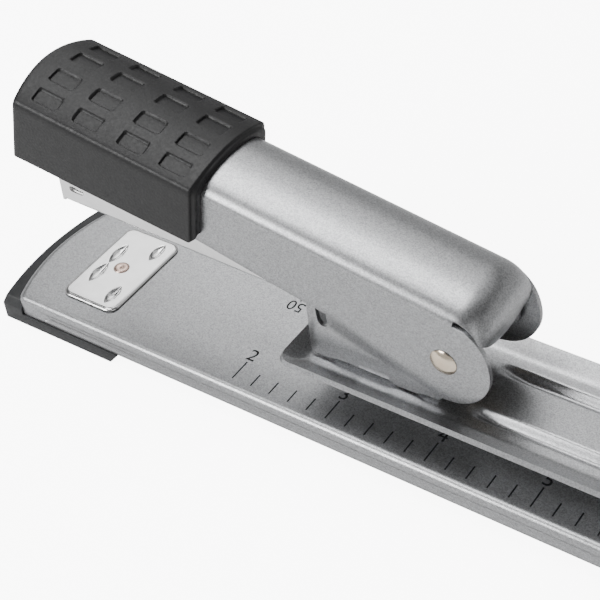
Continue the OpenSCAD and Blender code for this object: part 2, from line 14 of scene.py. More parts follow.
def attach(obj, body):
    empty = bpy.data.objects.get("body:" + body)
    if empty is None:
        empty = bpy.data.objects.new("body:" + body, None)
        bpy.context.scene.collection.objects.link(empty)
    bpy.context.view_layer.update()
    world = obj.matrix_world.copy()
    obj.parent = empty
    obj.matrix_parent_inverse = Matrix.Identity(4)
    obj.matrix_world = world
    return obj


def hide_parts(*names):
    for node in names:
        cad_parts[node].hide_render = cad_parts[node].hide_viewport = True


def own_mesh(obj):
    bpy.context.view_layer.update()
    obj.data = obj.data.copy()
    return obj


MM = 0.001

BASE_TOP = 9.2
SHEET = 1.2
TRAY_FRONT = -16.7
TRAY_REAR = 336.0
BASE_HALF = 20.0
END_RADIUS = 50.0
TRAY_CORNER = 2.5
SKIRT_Z = 3.4
FOOT_FRONT = -21.0
FOOT_HALF = 20.3
FOOT_RADIUS = 76.0
FOOT_RIM = 7.2
ANVIL_X = 4.55
HINGE = (318.0, 14.6)
ARM_FRONT = 64.0
ARM_REAR = 324.0
ARM_HALF = 16.0
ARM_FLOOR = 19.0
RIM_H = 2.2
PIVOT = (103.9, 34.7)
MAG_TILT = 1.6
HANDLE_TILT = 9.0
SHELL_HALF = 11.2
CREASE_V = 11.1
ROOF_RISE = 4.7
SHELL_FRONT = -110.5
EAR_R = 10.8
TONGUE_U = 0.5
EAR_CORNER_U = 3.4
CAP_FRONT = -114.7
CAP_REAR = -61.2
CAP_HALF = 14.0
CAP_LOW = (-2.3, -0.7)
CAP_CREASE = 14.5
CAP_CROWN = (18.1, 17.7)
CAP_BOW = 2.0
CAP_LEAN = 1.9
CAP_ROOF_STEPS = 132
CAP_WALL_STEPS = 14
PAD_U = (-103.8, -92.4, -80.1, -68.7)
PAD_Y = (-10.0, -3.8, 3.8, 10.0)
MAG_NOSE = -105.1
MAG_HALF = 7.25
MAG_SHEET = 0.75
MAG_LOW = -3.2
MAG_HIGH = 6.4
INCH = 25.4

BOX_FACES = ((0, 3, 2, 1), (4, 5, 6, 7), (0, 1, 5, 4), (1, 2, 6, 5), (2, 3, 7, 6), (3, 0, 4, 7))

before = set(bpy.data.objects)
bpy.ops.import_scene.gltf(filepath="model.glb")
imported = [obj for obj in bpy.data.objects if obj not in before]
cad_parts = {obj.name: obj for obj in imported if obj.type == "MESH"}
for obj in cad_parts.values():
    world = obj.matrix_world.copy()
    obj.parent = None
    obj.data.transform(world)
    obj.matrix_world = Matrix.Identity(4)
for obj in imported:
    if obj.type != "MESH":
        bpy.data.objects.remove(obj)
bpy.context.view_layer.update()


# ---- mesh helpers ----


def smoothstep(x, low=0.0, high=1.0):
    """0 below low, 1 above high, and a smooth rise between."""
    t = min(max((x - low) / (high - low), 0.0), 1.0)
    return t * t * (3 - 2 * t)


def steps(low, high, count):
    """count + 1 values from low to high."""
    return [low + (high - low) * i / count for i in range(count + 1)]


def interpolate(points, x):
    """Straight interpolation in a rising list of (x, value)."""
    if x <= points[0][0]:
        return points[0][1]
    for (x0, v0), (x1, v1) in zip(points, points[1:]):
        if x <= x1:
            return v0 + (v1 - v0) * (x - x0) / (x1 - x0)
    return points[-1][1]


def tilted(tilt):
    """Matrix from the head's own frame (u, y, v) to the stapler's, both in millimetres."""
    place = Matrix.Translation((PIVOT[0], 0, PIVOT[1]))
    return place @ Matrix.Rotation(math.radians(tilt), 4, "Y")


def make(name, verts, faces, place=None):
    """A mesh object from points in millimetres."""
    matrix = place or Matrix.Identity(4)
    mesh = bpy.data.meshes.new(name)
    mesh.from_pydata([(matrix @ Vector(v)) * MM for v in verts], [], faces)
    obj = bpy.data.objects.new(name, mesh)
    bpy.context.scene.collection.objects.link(obj)
    return obj


def grid_faces(rows, columns, start=0, closed=False):
    """Quads of a grid of points that is stored row by row."""
    last = columns if closed else columns - 1
    faces = []
    for i in range(rows - 1):
        for j in range(last):
            a = start + i * columns + j
            b = start + i * columns + (j + 1) % columns
            faces.append((a, a + columns, b + columns, b))
    return faces


def grid(name, rows, place=None):
    """An open surface through rows of points."""
    verts = [p for row in rows for p in row]
    return make(name, verts, grid_faces(len(rows), len(rows[0])), place)


def loft(name, rings, place=None):
    """A closed solid through rings of points, with a flat face at both ends."""
    count = len(rings[0])
    verts = [p for ring in rings for p in ring]
    faces = grid_faces(len(rings), count, closed=True)
    faces.append(tuple(range(count)))
    faces.append(tuple(reversed(range(len(verts) - count, len(verts)))))
    return make(name, verts, faces, place)


def solidify(obj, thickness):
    """Thickens a surface against its normals."""
    modifier = obj.modifiers.new("sheet", "SOLIDIFY")
    modifier.thickness = thickness * MM
    modifier.offset = -1
    modifier.use_even_offset = True


def bevel(obj, width, angle=50, segments=2):
    """Rounds the edges that are sharper than an angle."""
    modifier = obj.modifiers.new("edges", "BEVEL")
    modifier.width = width * MM
    modifier.segments = segments
    modifier.limit_method = "ANGLE"
    modifier.angle_limit = math.radians(angle)


def cut(obj, cutter):
    """Takes the cutter's shape out of an object."""
    modifier = obj.modifiers.new("cut", "BOOLEAN")
    modifier.operation = "DIFFERENCE"
    modifier.solver = "EXACT"
    modifier.object = cutter


def bake(obj, *cutters, sharp=35):
    """Applies the modifiers, merges doubled points and shades smooth up to an angle."""
    graph = bpy.context.evaluated_depsgraph_get()
    mesh = bpy.data.meshes.new_from_object(obj.evaluated_get(graph))
    obj.modifiers.clear()
    obj.data = mesh
    work = bmesh.new()
    work.from_mesh(mesh)
    bmesh.ops.remove_doubles(work, verts=work.verts, dist=0.002 * MM)
    bmesh.ops.dissolve_degenerate(work, edges=work.edges, dist=0.0005 * MM)
    bmesh.ops.recalc_face_normals(work, faces=work.faces)
    work.to_mesh(mesh)
    work.free()
    mesh.shade_smooth()
    mesh.set_sharp_from_angle(angle=math.radians(sharp))
    for cutter in cutters:
        bpy.data.objects.remove(cutter)
    return obj


def join(name, *parts):
    """One object from several finished meshes."""
    whole = bmesh.new()
    for part in parts:
        whole.from_mesh(part.data)
    mesh = bpy.data.meshes.new(name)
    whole.to_mesh(mesh)
    whole.free()
    obj = bpy.data.objects.new(name, mesh)
    bpy.context.scene.collection.objects.link(obj)
    for part in parts:
        bpy.data.objects.remove(part)
    return obj


def plate(name, outlines, low, high, place=None):
    """A flat plate normal to Y between two Y values, from an outline and its holes drawn as (x, z)."""
    edge = 0.12
    curve = bpy.data.curves.new(name, "CURVE")
    curve.dimensions = "2D"
    curve.fill_mode = "BOTH"
    curve.extrude = (high - low) / 2 - edge
    curve.bevel_depth = edge
    curve.bevel_resolution = 1
    curve.offset = -edge
    for outline in outlines:
        spline = curve.splines.new("POLY")
        spline.points.add(len(outline) - 1)
        for point, (x, z) in zip(spline.points, outline):
            point.co = (x, z, 0, 1)
        spline.use_cyclic_u = True
    flat = bpy.data.objects.new(name, curve)
    graph = bpy.context.evaluated_depsgraph_get()
    bpy.context.scene.collection.objects.link(flat)
    bpy.context.view_layer.update()
    mesh = bpy.data.meshes.new_from_object(flat.evaluated_get(graph))
    bpy.data.objects.remove(flat)
    upright = Matrix.Translation((0, (low + high) / 2, 0)) @ Matrix.Rotation(math.pi / 2, 4, "X")
    mesh.transform(Matrix.Scale(MM, 4) @ (place or Matrix.Identity(4)) @ upright)
    obj = bpy.data.objects.new(name, mesh)
    bpy.context.scene.collection.objects.link(obj)
    return bake(obj, sharp=30)


def arc(x, z, radius, start, end, count):
    """Points on an arc; angles in degrees, counter-clockwise from +x."""
    angles = steps(math.radians(start), math.radians(end), count)
    return [(x + radius * math.cos(a), z + radius * math.sin(a)) for a in angles]


def prism(name, outline, low, high, place=None):
    """A straight bar along Y with an outline drawn as (u, v)."""
    rings = [[(u, y, v) for u, v in outline] for y in (low, high)]
    return bake(loft(name, rings, place))


def lathe(name, profile, centre):
    """A solid turned round a vertical axis from a profile of (radius, z), from the middle outward."""
    cx, cy = centre
    turns = 40
    rings = []
    for radius, z in profile:
        rings.append([(cx + radius * math.cos(a), cy + radius * math.sin(a), z)
                      for a in steps(0, 2 * math.pi, turns)[:-1]])
    return bake(loft(name, rings), sharp=40)


def ball(centre, radius):
    """A sphere that is only used to cut a dimple."""
    work = bmesh.new()
    bmesh.ops.create_uvsphere(work, u_segments=32, v_segments=24, radius=radius * MM)
    mesh = bpy.data.meshes.new("dimple_cutter")
    work.to_mesh(mesh)
    work.free()
    mesh.transform(Matrix.Translation(Vector(centre) * MM))
    obj = bpy.data.objects.new("dimple_cutter", mesh)
    bpy.context.scene.collection.objects.link(obj)
    return obj


def piece(obj, body, material, slot, *nodes):
    """Gives a finished piece its material, its body and the CAD nodes that it stands for."""
    obj.data.materials.clear()
    obj.data.materials.append(MATERIALS[material])
    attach(obj, body)
    if nodes:
        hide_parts(*nodes)
    return obj


# ---- materials ----


class Surface:
    """A node material with a principled shader and a few short ways to add detail to it."""

    def __init__(self, name, color, metallic, roughness, coat=0.0):
        self.material = bpy.data.materials.new(name)
        self.material.use_nodes = True
        self.tree = self.material.node_tree
        self.shader = self.tree.nodes["Principled BSDF"]
        self.shader.inputs["Base Color"].default_value = (*color, 1)
        self.shader.inputs["Metallic"].default_value = metallic
        self.shader.inputs["Roughness"].default_value = roughness
        self.shader.inputs["Coat Weight"].default_value = coat
        self.shader.inputs["Coat Roughness"].default_value = 0.25
        self.place = self.tree.nodes.new("ShaderNodeTexCoord").outputs["Object"]
        self.normal = None

    def noise(self, scale, detail=2.0, rough=0.5, stretch=(1, 1, 1)):
        """Noise with scale features per metre, stretched along an axis by a factor below 1."""
        mapping = self.tree.nodes.new("ShaderNodeMapping")
        mapping.inputs["Scale"].default_value = stretch
        node = self.tree.nodes.new("ShaderNodeTexNoise")
        node.inputs["Scale"].default_value = scale
        node.inputs["Detail"].default_value = detail
        node.inputs["Roughness"].default_value = rough
        self.tree.links.new(self.place, mapping.inputs["Vector"])
        self.tree.links.new(mapping.outputs["Vector"], node.inputs["Vector"])
        return node.outputs["Fac"]

    def cells(self, scale):
        """Random value per cell, scale cells per metre."""
        node = self.tree.nodes.new("ShaderNodeTexVoronoi")
        node.inputs["Scale"].default_value = scale
        self.tree.links.new(self.place, node.inputs["Vector"])
        split = self.tree.nodes.new("ShaderNodeSeparateColor")
        self.tree.links.new(node.outputs["Color"], split.inputs["Color"])
        return split.outputs["Red"]

    def ranged(self, value, low, high, start=0.3, end=0.7):
        """Maps a value from start..end to low..high."""
        node = self.tree.nodes.new("ShaderNodeMapRange")
        node.inputs["From Min"].default_value = start
        node.inputs["From Max"].default_value = end
        node.inputs["To Min"].default_value = low
        node.inputs["To Max"].default_value = high
        self.tree.links.new(value, node.inputs["Value"])
        return node.outputs["Result"]

    def color(self, value, dark, light, start=0.3, end=0.7):
        """Base colour that runs from dark to light with a value."""
        ramp = self.tree.nodes.new("ShaderNodeValToRGB")
        ramp.color_ramp.elements[0].position = start
        ramp.color_ramp.elements[0].color = (*dark, 1)
        ramp.color_ramp.elements[1].position = end
        ramp.color_ramp.elements[1].color = (*light, 1)
        self.tree.links.new(value, ramp.inputs["Fac"])
        self.tree.links.new(ramp.outputs["Color"], self.shader.inputs["Base Color"])

    def roughness(self, value):
        """Roughness that follows a value."""
        self.tree.links.new(value, self.shader.inputs["Roughness"])

    def bump(self, value, height):
        """Relief of a height in millimetres; later reliefs add to earlier ones."""
        node = self.tree.nodes.new("ShaderNodeBump")
        node.inputs["Strength"].default_value = 1.0
        node.inputs["Distance"].default_value = height * MM
        self.tree.links.new(value, node.inputs["Height"])
        if self.normal:
            self.tree.links.new(self.normal, node.inputs["Normal"])
        self.normal = node.outputs["Normal"]
        self.tree.links.new(self.normal, self.shader.inputs["Normal"])


def silver_paint():
    """Metallic paint: fine bright flakes in a satin coat, with a faint orange peel."""
    look = Surface("silver_paint", (0.4, 0.4, 0.4), 0.95, 0.35, coat=0.1)
    flakes = look.cells(4600)
    look.color(flakes, (0.28, 0.283, 0.29), (0.48, 0.485, 0.495), 0.0, 1.0)
    look.roughness(look.ranged(look.noise(900, 3), 0.33, 0.37))
    look.bump(flakes, 0.002)
    look.bump(look.noise(500, 2), 0.006)
    return look.material


def black_plastic(name, grain, rough):
    """Moulded black plastic with a leather-like grain."""
    look = Surface(name, (0.01, 0.01, 0.011), 0.0, rough)
    look.shader.inputs["Specular IOR Level"].default_value = 0.35
    fine = look.noise(1500, 3, 0.6)
    look.color(look.noise(300, 3), (0.006, 0.006, 0.0065), (0.01, 0.01, 0.0105))
    look.roughness(look.ranged(fine, rough - 0.06, rough + 0.08))
    look.bump(fine, grain)
    return look.material


def gray_plastic():
    """Moulded dark grey plastic with a fine grain."""
    look = Surface("gray_plastic", (0.025, 0.026, 0.027), 0.0, 0.45)
    look.shader.inputs["Specular IOR Level"].default_value = 0.35
    fine = look.noise(1800, 3, 0.6)
    look.color(look.noise(260, 3), (0.018, 0.019, 0.02), (0.028, 0.029, 0.03))
    look.roughness(look.ranged(fine, 0.38, 0.52))
    look.bump(fine, 0.012)
    return look.material


def plated(name, dark, light, low, high):
    """Plated metal: slight waviness, fine drawing lines along X and cloudy roughness."""
    look = Surface(name, light, 1.0, low)
    look.color(look.noise(220, 3), dark, light)
    look.roughness(look.ranged(look.noise(500, 4, 0.6), low, high))
    look.bump(look.noise(5000, 2, stretch=(0.04, 1, 1)), 0.004)
    look.bump(look.noise(90, 1), 0.01)
    return look.material


def ink():
    """Screen-printed marks: near-black with worn, slightly uneven cover."""
    look = Surface("ink", (0.006, 0.006, 0.007), 0.0, 0.55)
    look.shader.inputs["Specular IOR Level"].default_value = 0.2
    look.color(look.noise(2500, 3), (0.004, 0.004, 0.005), (0.012, 0.012, 0.013))
    look.roughness(look.ranged(look.noise(1800, 2), 0.45, 0.65))
    look.bump(look.noise(2600, 2), 0.006)
    return look.material


def ground():
    """White studio sweep that is bright enough to be seen as pure white."""
    look = Surface("ground", (0.9, 0.9, 0.9), 0.0, 0.8)
    look.color(look.noise(3, 2), (0.89, 0.89, 0.89), (0.91, 0.91, 0.91))
    path = look.tree.nodes.new("ShaderNodeLightPath")
    look.shader.inputs["Emission Color"].default_value = (1, 1, 1, 1)
    look.tree.links.new(look.ranged(path.outputs["Is Camera Ray"], 0.0, 8.0, 0.0, 1.0),
                        look.shader.inputs["Emission Strength"])
    return look.material


MATERIALS = {
    "silver": silver_paint(),
    "cap_top": black_plastic("cap_grain", 0.05, 0.42),
    "black": black_plastic("black_plastic", 0.015, 0.4),
    "gray": gray_plastic(),
    "nickel": plated("nickel_plate", (0.8, 0.8, 0.8), (0.88, 0.88, 0.88), 0.14, 0.22),
    "steel": plated("plain_steel", (0.45, 0.45, 0.46), (0.6, 0.6, 0.61), 0.25, 0.4),
    "spring": plated("spring_steel", (0.2, 0.2, 0.21), (0.34, 0.34, 0.35), 0.3, 0.45),
    "copper": plated("copper_plate", (0.6, 0.42, 0.35), (0.8, 0.62, 0.54), 0.22, 0.4),
    "gold": plated("gold_plate", (0.66, 0.55, 0.42), (0.84, 0.74, 0.6), 0.14, 0.26),
    "wire": plated("staple_wire", (0.42, 0.42, 0.42), (0.6, 0.6, 0.59), 0.25, 0.4),
    "ink": ink(),
}


# ---- base ----


def end_outline(front, rear, half, end_r, corner, inset):
    """Plan of the tray or a foot, moved inward by inset: arched ends, rounded corners, straight sides."""
    front, rear = front + inset, rear - inset
    half, end_r = half - inset, end_r - inset
    corner = max(corner - inset, 0.1)
    reach = math.sqrt((end_r - corner) ** 2 - (half - corner) ** 2)
    turn = math.degrees(math.atan2(half - corner, reach))
    near = front + end_r - reach
    far = rear - end_r + reach
    side = half - corner
    points = arc(rear - end_r, 0, end_r, -turn, turn, 24)
    points += arc(far, side, corner, turn, 90, 8)
    points += arc(near, side, corner, 90, 180 - turn, 8)
    points += arc(front + end_r, 0, end_r, 180 - turn, 180 + turn, 24)
    points += arc(near, -side, corner, 180 + turn, 270, 8)
    points += arc(far, -side, corner, 270, 360 - turn, 8)
    return points


def tray_ring(inset, z, grow=0.0):
    """One level ring of the tray's outline, moved inward by inset or grown all round."""
    outline = end_outline(TRAY_FRONT - grow, TRAY_REAR + grow, BASE_HALF + grow,
                          END_RADIUS + grow, TRAY_CORNER + grow, inset)
    return [(x, y, z) for x, y in outline]


def base_tray():
    """Pressed tray: flat top, folded edge, skirt with a rounded lip, and the dimples that hold the feet."""
    fold = 1.7
    rings = [tray_ring(fold + 0.3, BASE_TOP)]
    for a in steps(90, 0, 8):
        lift = fold * math.sin(math.radians(a))
        rings.append(tray_ring(fold * (1 - math.cos(math.radians(a))), BASE_TOP - fold + lift))
    rings.append(tray_ring(0, SKIRT_Z + 0.3))
    rings.append(tray_ring(0.1, SKIRT_Z + 0.08))
    rings.append(tray_ring(0.35, SKIRT_Z))
    rings.append(tray_ring(SHEET - 0.25, SKIRT_Z))
    rings.append(tray_ring(SHEET, SKIRT_Z + 0.25))
    rings.append(tray_ring(SHEET, BASE_TOP - SHEET))
    tray = loft("tray", rings)
    dimple_r, dimple_depth, dimple_z = 2.0, 0.5, 5.8
    dimple_x = 12.5
    places = [(x, side * (BASE_HALF + dimple_r - dimple_depth), dimple_z)
              for x in (TRAY_FRONT + dimple_x, TRAY_REAR - dimple_x) for side in (-1, 1)]
    balls = [ball(p, dimple_r) for p in places]
    for one in balls:
        cut(tray, one)
    return bake(tray, *balls, sharp=40)


def foot(name, mirrored):
    """Plastic foot: a ledge with a sloped shoulder round the tray's end and a sole with a slanted back."""
    sole_end = 15.3
    slope = 0.85
    corner = 0.3
    rim_end = TRAY_FRONT + 4.6
    ledge_z = SKIRT_Z + 0.02
    past_rear, past_top, past_side = 30, 12, 25
    shoulder = ((0.4, 0.0), (0.1, 0.12), (0.0, 0.45), (0.0, 4.8), (0.06, 5.05), (1.05, 7.0),
                (1.25, FOOT_RIM))
    rings = []
    for inset, z in shoulder:
        outline = end_outline(FOOT_FRONT, TRAY_REAR, FOOT_HALF, FOOT_RADIUS, corner, inset)
        rear = sole_end + slope * z - inset
        rings.append([(min(x, rear), y, z) for x, y in outline])
    solid = loft(name, rings)
    pocket = loft("pocket", [tray_ring(0, z, grow=0.15) for z in (ledge_z, past_top)])
    side_room = prism("side_room", [(rim_end, ledge_z), (past_rear, ledge_z), (past_rear, past_top),
                                    (rim_end, past_top)], -past_side, past_side)
    cut(solid, pocket)
    cut(solid, side_room)
    bake(solid, pocket, side_room, sharp=30)
    bevel(solid, 0.18, angle=40)
    if mirrored:
        middle = (TRAY_FRONT + TRAY_REAR) / 2 * MM
        flip = Matrix.Translation((2 * middle, 0, 0)) @ Matrix.Scale(-1, 4, (1, 0, 0))
        solid.data.transform(flip)
        solid.data.flip_normals()
    return bake(solid, sharp=30)


def tick(x, inner, outer):
    """Corners of one printed line across the scale."""
    width = 0.36
    return [(x - width / 2, inner), (x + width / 2, inner), (x + width / 2, outer), (x - width / 2, outer)]


def scale_marks():
    """The two printed scales: fifths of an inch on the near side, 5 mm steps on the far side."""
    quads = []
    edge = 17.0
    inch_long, inch_short = 5.95, 3.96
    mm_long, mm_short = 5.2, 3.4
    for n in range(2 * 5, 12 * 5 + 1):
        length = inch_long if n % 5 == 0 else inch_short
        quads.append(tick(n * INCH / 5, -edge, -edge + length))
    for n in range(10, 61):
        length = mm_long if n % 2 == 0 else mm_short
        quads.append(tick(5.0 * n, edge - length, edge))
    verts, faces = [], []
    for corners in quads:
        start = len(verts)
        for z in (BASE_TOP - 0.02, BASE_TOP + 0.015):
            verts += [(x, y, z) for x, y in corners]
        faces += [tuple(start + i for i in f) for f in BOX_FACES]
    return bake(make("scale_marks", verts, faces))


def numeral(text, x, y, turned, size):
    """One printed number lying on the tray, centred on x; turned means read from the far side."""
    curve = bpy.data.curves.new(f"numeral_{text}", "FONT")
    curve.body = text
    curve.size = size
    curve.align_x = "CENTER"
    curve.extrude = 0.0175
    obj = bpy.data.objects.new(f"numeral_{text}", curve)
    bpy.context.scene.collection.objects.link(obj)
    bpy.context.view_layer.update()
    graph = bpy.context.evaluated_depsgraph_get()
    mesh = bpy.data.meshes.new_from_object(obj.evaluated_get(graph))
    bpy.data.objects.remove(obj)
    spin = Matrix.Rotation(math.pi if turned else 0, 4, "Z")
    place = Matrix.Translation((x, y, BASE_TOP - 0.0025)) @ spin
    mesh.transform(Matrix.Scale(MM, 4) @ place)
    mark = bpy.data.objects.new(f"numeral_{text}", mesh)
    bpy.context.scene.collection.objects.link(mark)
    return mark


def scale_numbers():
    """Inch numbers beyond the near ticks and millimetre numbers beyond the far ones."""
    marks = [numeral(str(n), n * INCH, -10.4, False, 5.1) for n in range(2, 13)]
    marks += [numeral(str(n), n, 11.4, True, 4.6) for n in range(50, 301, 10)]
    return join("scale_numbers", *marks)


# ---- anvil ----


def rounded_inset(x, y, x0, x1, half, corner):
    """How far a point lies inside a rectangle with rounded corners."""
    cx, cy = (x0 + x1) / 2, 0
    dx = abs(x - cx) - (x1 - x0) / 2 + corner
    dy = abs(y - cy) - half + corner
    outside = math.hypot(max(dx, 0), max(dy, 0)) + min(max(dx, dy), 0)
    return corner - outside


def corner_half(x, x0, x1, half, corner):
    """Half-width of a rectangle with rounded corners at x."""
    d = min(x - x0, x1 - x)
    if d >= corner:
        return half
    return half - corner + math.sqrt(max(corner * corner - (corner - d) ** 2, 0))


def plan_rows(xs, ys, x0, x1, half, corner, height):
    """Rows of a height surface over a rectangle with rounded corners; ys run from -1 to 1."""
    rows = []
    for x in xs:
        width = corner_half(x, x0, x1, half, corner)
        rows.append([(x, t * width, height(x, t * width)) for t in ys])
    return rows


def spindle(dx, dy, long_half):
    """Depth of one clinching groove: a pointed, rounded trough that lies across the stapler."""
    wide_half = 1.4
    along = 1 - (dy / long_half) ** 2
    if along <= 0:
        return 0.0
    across = 1 - (dx / (wide_half * along)) ** 2
    return 0.68 * along * max(across, 0)


def anvil_plate():
    """Plated anvil with its two pairs of grooves and a rolled-over border."""
    half_l, half_w, corner, border = 8.2, 13.85, 2.6, 0.85
    x0, x1 = ANVIL_X - half_l, ANVIL_X + half_l
    top = BASE_TOP + 0.8
    grooves = [(ANVIL_X - 4.25, side * 3.95, 3.85) for side in (-1, 1)]
    grooves += [(ANVIL_X + 4.25, side * 8.8, 3.3) for side in (-1, 1)]

    def height(x, y):
        """Top of the plate at a point: rolled border and grooves taken off."""
        out = min(max(1 - rounded_inset(x, y, x0, x1, half_w, corner) / border, 0), 1)
        drop = 0.1 * out + 0.42 * (1 - math.sqrt(1 - out ** 2))
        depth = sum(spindle(x - gx, y - gy, long_half) for gx, gy, long_half in grooves)
        return top - drop - depth

    rim = [0, 0.02, 0.07, 0.15, 0.27, 0.42, 0.6, 0.8, 0.86]
    along = [x0 + d for d in rim] + steps(x0 + 1.1, x1 - 1.1, 88) + [x1 - d for d in reversed(rim)]
    half = steps(0, half_w - 1.1, 80) + [half_w - d for d in reversed(rim)]
    across = [-y / half_w for y in reversed(half[1:])] + [y / half_w for y in half]
    plate_top = grid("anvil", plan_rows(along, across, x0, x1, half_w, corner, height))
    solidify(plate_top, 0.45)
    return bake(plate_top, sharp=28)


def anvil_rivet():
    """Riveted-over tube end: a low rounded ring with a punch mark in the middle."""
    z = BASE_TOP + 0.8
    profile = ((0.12, z + 0.02), (0.26, z + 0.1), (0.34, z + 0.26), (0.6, z + 0.33), (1.2, z + 0.36),
               (1.6, z + 0.3), (1.9, z + 0.16), (2.02, z), (2.02, z - 0.2))
    return lathe("anvil_rivet", profile, (ANVIL_X, 0))


# ---- arm ----


def arm_height(x, y):
    """Upper surface of the arm: flared rim all round, two grooves and a flat floor."""
    rim_w = 4.3
    inside = rounded_inset(x, y, ARM_FRONT, ARM_REAR, ARM_HALF, 3.0)
    slope = 1 - inside / rim_w
    soft = 0.09
    rim = RIM_H * soft * math.log1p(math.exp(min(slope / soft, 60)))
    along = smoothstep(x, 106, 114) * (1 - smoothstep(x, 290, 298))
    off = abs(abs(y) - 6.9)
    groove = 1.8 * along * (0.5 + 0.5 * math.cos(math.pi * min(off / 2.1, 1)))
    return ARM_FLOOR + rim - groove


def arm_sheet():
    """Pressed arm: one sheet with its flared rim, grooves and down-turned hinge ears."""
    xs = [ARM_FRONT + d for d in (0, 0.06, 0.18, 0.4, 0.7)]
    xs += steps(ARM_FRONT + 1, ARM_FRONT + 7, 24)
    xs += steps(ARM_FRONT + 9, 103, 14)
    xs += steps(104, 110, 16)
    xs += steps(114, 288, 58)
    xs += steps(292, 298, 12)
    xs += steps(300, ARM_REAR - 7, 8)
    xs += steps(ARM_REAR - 6, ARM_REAR - 1, 20)
    xs += [ARM_REAR - d for d in (0.7, 0.4, 0.18, 0.06, 0)]
    across = [t / ARM_HALF for t in arm_columns()]
    sheet = grid("arm_sheet", plan_rows(xs, across, ARM_FRONT, ARM_REAR, ARM_HALF, 3.0, arm_height))
    solidify(sheet, SHEET)
    bevel(sheet, 0.12, angle=60)
    bake(sheet, sharp=40)
    hx, hz = HINGE
    outline = [(hx - 12, 16.8), (hx - 12, 18.3), (hx + 5, 18.3), (hx + 5, 16.8)]
    outline += arc(hx, hz, 4, 20, -200, 24)
    bore = arc(hx, hz, 1.7, 360, 15, 23)
    ears = [plate("ear", [outline, bore], *sorted((s * 13.4, s * 14.6))) for s in (-1, 1)]
    return join("arm_sheet", sheet, *ears)


def arm_columns():
    """Y values across the arm, close together at the rims and the grooves."""
    half = steps(0, 4.6, 5) + steps(4.8, 9.0, 20) + steps(9.4, 10.6, 2) + steps(10.9, 16, 22)
    return [-y for y in reversed(half[1:])] + half


# ---- head bracket ----


def bracket():
    """U bracket on the arm: walls with stud slots and wavy feet, and a narrower floor with bends."""
    px, pz = PIVOT
    foot_z = ARM_FLOOR + 0.8
    notch_z = ARM_FLOOR + 2.7
    outline = [(68.5, foot_z + 0.5), (69.6, foot_z), (73.5, foot_z - 0.1), (76.5, foot_z + 0.7),
               (80.0, foot_z + 0.4), (80.7, foot_z + 0.5), (81.2, notch_z), (88.3, notch_z),
               (88.8, foot_z + 0.3), (91, foot_z - 0.3), (95, foot_z - 0.2), (99, foot_z + 0.7),
               (100.7, foot_z + 0.4), (101.4, foot_z + 0.9)]
    outline += arc(px, pz, 6.8, -18, 92, 24)
    outline += [(76, ARM_FLOOR + 20), (69.3, ARM_FLOOR + 20), (68.5, ARM_FLOOR + 19.2)]
    slot = stud_slot()
    bore = arc(px, pz, 2.06, 360, 12, 29)
    walls = [plate("wall", [outline, slot, bore], *sorted((s * 8.0, s * 9.2))) for s in (-1, 1)]
    half = 7.9
    bend = 1.3
    section = [(-half, ARM_FLOOR + 4), (-half, ARM_FLOOR + bend)]
    section += [(-half + bend + y, ARM_FLOOR + bend + z) for y, z in arc(0, 0, bend, 180, 270, 6)]
    section += [(-y, z) for y, z in reversed(section)]
    floor = grid("floor", [[(x, y, z + SHEET) for y, z in section] for x in (70.2, 100.2)])
    solidify(floor, SHEET)
    bake(floor, sharp=40)
    return join("bracket", *walls, floor)


def stud_slot():
    """Outline of the arc slot that the stop studs run in."""
    px, pz = PIVOT
    arm, r = 31.8, 1.3
    start = 180 - MAG_TILT + math.degrees(0.4 / arm)
    end = start + 9.2
    top_x, top_z = arc(px, pz, arm, start, start, 1)[0]
    low_x, low_z = arc(px, pz, arm, end, end, 1)[0]
    outline = arc(px, pz, arm + r, start, end, 8)
    outline += arc(low_x, low_z, r, end, end + 180, 12)[1:-1]
    outline += arc(px, pz, arm - r, end, start, 8)
    outline += arc(top_x, top_z, r, start + 180, start + 360, 12)[1:-1]
    return outline


# ---- magazine ----


def magazine_channel():
    """Bright channel: rounded bottom edges, a bowed nose and the long window beside the first staples."""
    place = tilted(MAG_TILT)
    half, thick, low, high, bend = MAG_HALF, MAG_SHEET, MAG_LOW, MAG_HIGH, 1.1
    section = [(-half, high), (-half, high - 0.2), (-half, low + bend + 1)]
    section += [(-half + bend + y, low + bend + z) for y, z in arc(0, 0, bend, 180, 270, 8)]
    mirrored = [(-y, z) for y, z in reversed(section)]
    line = section + [(0, low)] + mirrored
    us = [MAG_NOSE, -104.2, -103.4, -103.3] + steps(-100, -5, 19)
    channel = grid("channel", [[(u, y, v) for y, v in reversed(line)] for u in us], place)
    solidify(channel, thick)
    slot_outline = arc(-102.3, 1.3, 0.8, 90, 270, 10) + arc(-99.6, 1.3, 0.8, -90, 90, 10)
    window = prism("window", slot_outline, -20, 20, place)
    gap = prism("gap", [(-104.35, -8), (-102.95, -8), (-102.95, 0), (-104.35, 0)], -6.5, 6.5, place)
    cut(channel, window)
    cut(channel, gap)
    bake(channel, window, gap, sharp=35)
    bevel(channel, 0.1)
    bake(channel, sharp=35)
    nose_bow = 0.5
    nose_rows = [[(MAG_NOSE - nose_bow * (1 - (y / half) ** 2), y, v)
                  for y in steps(half - 0.05, -half + 0.05, 16)]
                 for v in steps(low + 0.15, high, 4)]
    nose = grid("nose", nose_rows, place)
    solidify(nose, thick)
    bake(nose, sharp=40)
    outline = [(-6, low), (0, -5.3)] + arc(0, 0, 5.4, -80, 80, 16) + [(0, high), (-6, high)]
    bore = arc(0, 0, 2.06, 360, 15, 23)
    ears = [plate("ear", [outline, bore], *sorted((s * (half - thick), s * half)), place=place)
            for s in (-1, 1)]
    return join("magazine_channel", channel, nose, *ears)


# ---- handle shell ----


